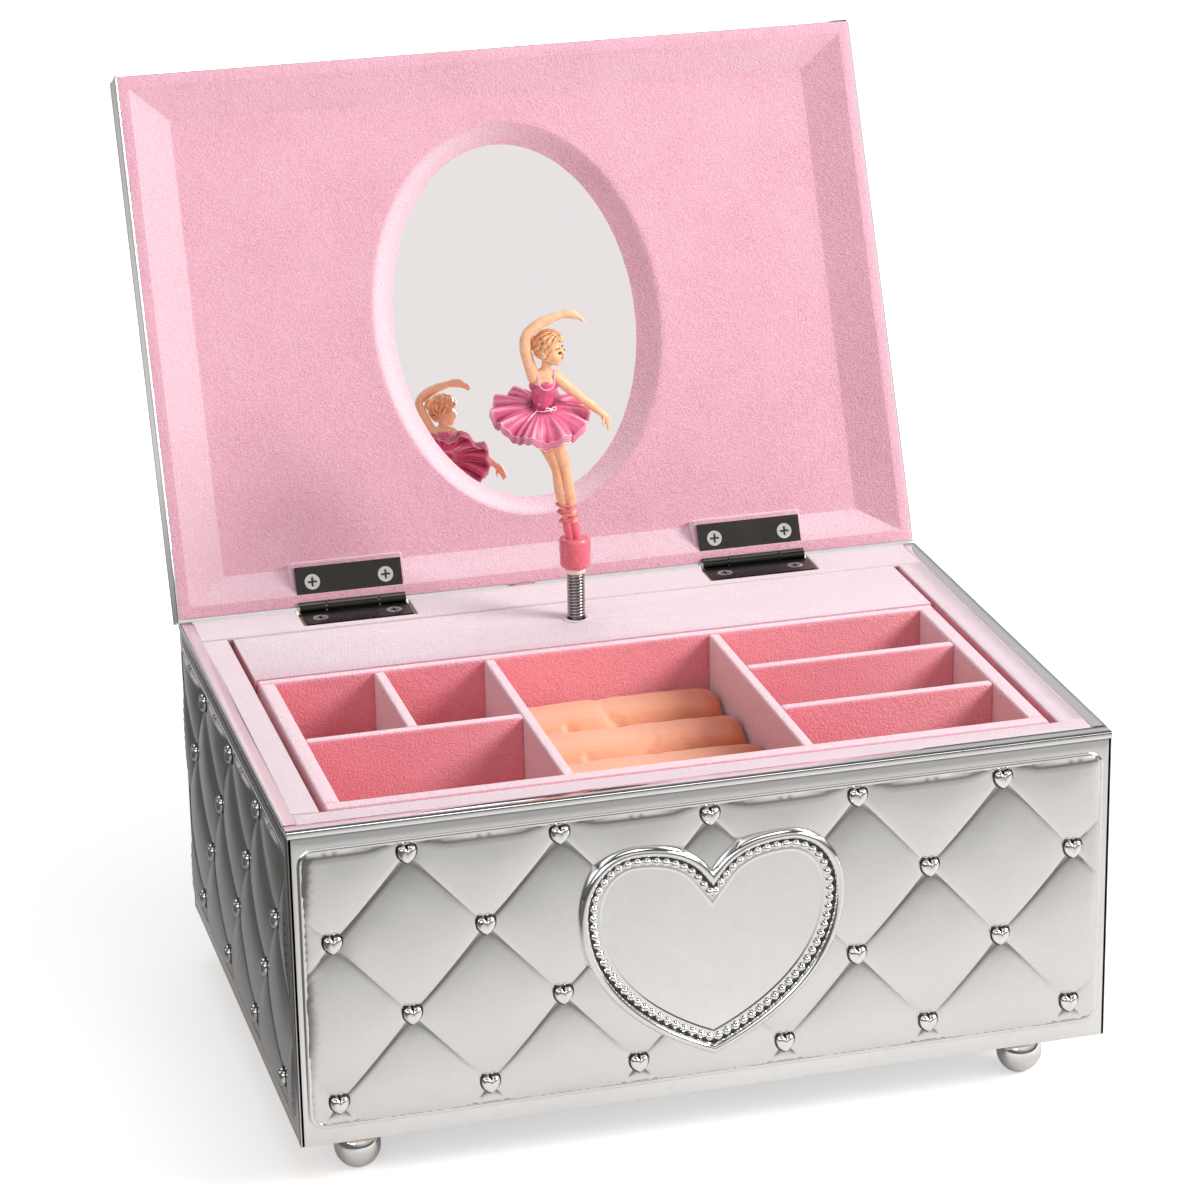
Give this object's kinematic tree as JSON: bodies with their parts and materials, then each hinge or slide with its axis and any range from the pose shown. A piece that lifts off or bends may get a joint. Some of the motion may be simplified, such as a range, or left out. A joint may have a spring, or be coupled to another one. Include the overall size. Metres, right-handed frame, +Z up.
{
  "type": "ballerina jewellery music box",
  "caption": "Quilted silver box on ball feet with a velvet lift-out tray, mirrored lid and a dancer on a spring turned by a wind-up movement.",
  "frame": {"origin": "on the surface the feet stand on, under the middle of the open box's bounding box, 28.5 mm behind the middle of the feet", "axes": "+Z up, -Y towards the front with the heart, +X to the right seen from the front"},
  "size_m": [0.1804, 0.1886, 0.2003],
  "materials": {
    "board": "raw fibreboard",
    "silver_plate": "silver plate, polished borders and satin quilting",
    "polished_silver": "bright silver plate",
    "pink_velvet": "short pink velvet",
    "rose_flock": "rose flock",
    "peach_satin": "peach satin",
    "base_felt": "grey felt",
    "screw_steel": "bright zinc",
    "hinge_steel": "dark nickel",
    "mirror_glass": "silvered glass",
    "bedplate_iron": "cast and lacquered",
    "movement_brass": "turned brass",
    "movement_steel": "plain steel",
    "spring_steel": "bright spring wire",
    "collar_plastic": "moulded coral pink",
    "skin_plastic": "moulded, skin colour",
    "bodice_plastic": "painted pink",
    "hair_plastic": "painted blonde",
    "tutu_net": "pleated pink net"
  },
  "bodies": {
    "box": {"floor_board": "board", "wall_front": "board", "wall_left": "board", "wall_right": "board", "wall_back": "board", "partition": "board", "platform_cleat": "board", "platform_board": "board", "platform_velvet": "pink_velvet", "tray_ledges": "rose_flock", "shell_front": "silver_plate", "shell_left": "silver_plate", "shell_right": "silver_plate", "shell_back": "silver_plate", "box_studs": "polished_silver", "heart_plaque": "silver_plate", "rim_velvet": "pink_velvet", "wall_lining": "rose_flock", "floor_lining": "rose_flock", "base_felt": "base_felt", "ball_feet": "polished_silver", "foot_screws": "screw_steel", "hinge_leaves_box": "hinge_steel", "hinge_pins": "screw_steel", "hinge_screws_box": "screw_steel", "movement_bedplate": "bedplate_iron", "movement_bridge": "bedplate_iron", "movement_screws": "screw_steel", "comb": "movement_steel"},
    "lid": {"lid_shell": "silver_plate", "lid_studs": "polished_silver", "lid_rails": "pink_velvet", "lid_panel": "pink_velvet", "mirror": "mirror_glass", "hinge_leaves_lid": "hinge_steel", "hinge_screws_lid": "screw_steel"},
    "tray": {"tray_floor": "rose_flock", "tray_wall_front": "rose_flock", "tray_wall_back": "rose_flock", "tray_walls_side": "rose_flock", "tray_divider_left": "rose_flock", "tray_divider_right": "rose_flock", "tray_cross_dividers": "rose_flock", "ring_rolls": "peach_satin"},
    "barrel": {"spring_barrel": "movement_brass", "mainspring": "movement_steel"},
    "spindle": {"spindle": "movement_steel"},
    "cylinder": {"music_cylinder": "movement_brass"},
    "governor": {"governor": "movement_steel"},
    "key": {"winding_arbor": "movement_steel", "winding_key": "movement_steel"},
    "click": {"click_pawl": "movement_steel"},
    "dancer_mount": {"dancer_spring": "spring_steel", "spring_ferrule": "spring_steel"},
    "dancer": {"dancer_collar": "collar_plastic", "dancer_legs": "skin_plastic", "dancer_bodice": "bodice_plastic", "dancer_head_arms": "skin_plastic", "dancer_hair": "hair_plastic", "dancer_tutu": "tutu_net"}
  },
  "joints": [
    {"name": "lid_hinge", "type": "hinge", "parent": "box", "child": "lid", "pos_m": [0, 0.0345, 0.0838], "axis": [1, 0, 0], "range_deg": [0, 113.5]},
    {"name": "tray_lift", "type": "slide", "parent": "box", "child": "tray", "axis": [0, 0, -1], "range_m": [-0.04, 0]},
    {"name": "barrel_spin", "type": "hinge", "parent": "box", "child": "barrel", "pos_m": [-0.0147, 0.0105, 0.0375], "axis": [0, 0, 1], "continuous": true},
    {"name": "spindle_spin", "type": "hinge", "parent": "box", "child": "spindle", "pos_m": [-0.0012, 0.0105, 0.0425], "axis": [0, 0, 1], "continuous": true},
    {"name": "cylinder_spin", "type": "hinge", "parent": "box", "child": "cylinder", "pos_m": [-0.04, 0.0105, 0.0284], "axis": [1, 0, 0], "continuous": true},
    {"name": "governor_spin", "type": "hinge", "parent": "box", "child": "governor", "pos_m": [-0.058, 0.01674, 0.03672], "axis": [1, 0, 0], "continuous": true},
    {"name": "key_wind", "type": "hinge", "parent": "box", "child": "key", "pos_m": [-0.0147, 0.0105, 0.0125], "axis": [0, 0, 1], "continuous": true},
    {"name": "click_swing", "type": "hinge", "parent": "box", "child": "click", "pos_m": [-0.006, 0.0035, 0.0207], "axis": [0, 0, 1], "range_deg": [0, 10], "stiffness_Nm_per_rad": 0.0004, "springref_deg": -5.73},
    {"name": "dancer_fold", "type": "hinge", "parent": "box", "child": "dancer_mount", "pos_m": [-0.0012, 0.0105, 0.0881], "axis": [1, 0, 0], "range_deg": [0, 93], "deforming": ["dancer_spring"]},
    {"name": "dancer_spin", "type": "hinge", "parent": "dancer_mount", "child": "dancer", "pos_m": [-0.0012, 0.0105, 0.0995], "axis": [0, 0, 1], "continuous": true}
  ],
  "couplings": [
    {"joint": "dancer_fold", "follows": "lid_hinge", "ratio": 0.81938},
    {"joint": "spindle_spin", "follows": "barrel_spin", "ratio": -2},
    {"joint": "dancer_spin", "follows": "barrel_spin", "ratio": -2},
    {"joint": "cylinder_spin", "follows": "barrel_spin", "ratio": 4},
    {"joint": "governor_spin", "follows": "barrel_spin", "ratio": -13.333}
  ]
}
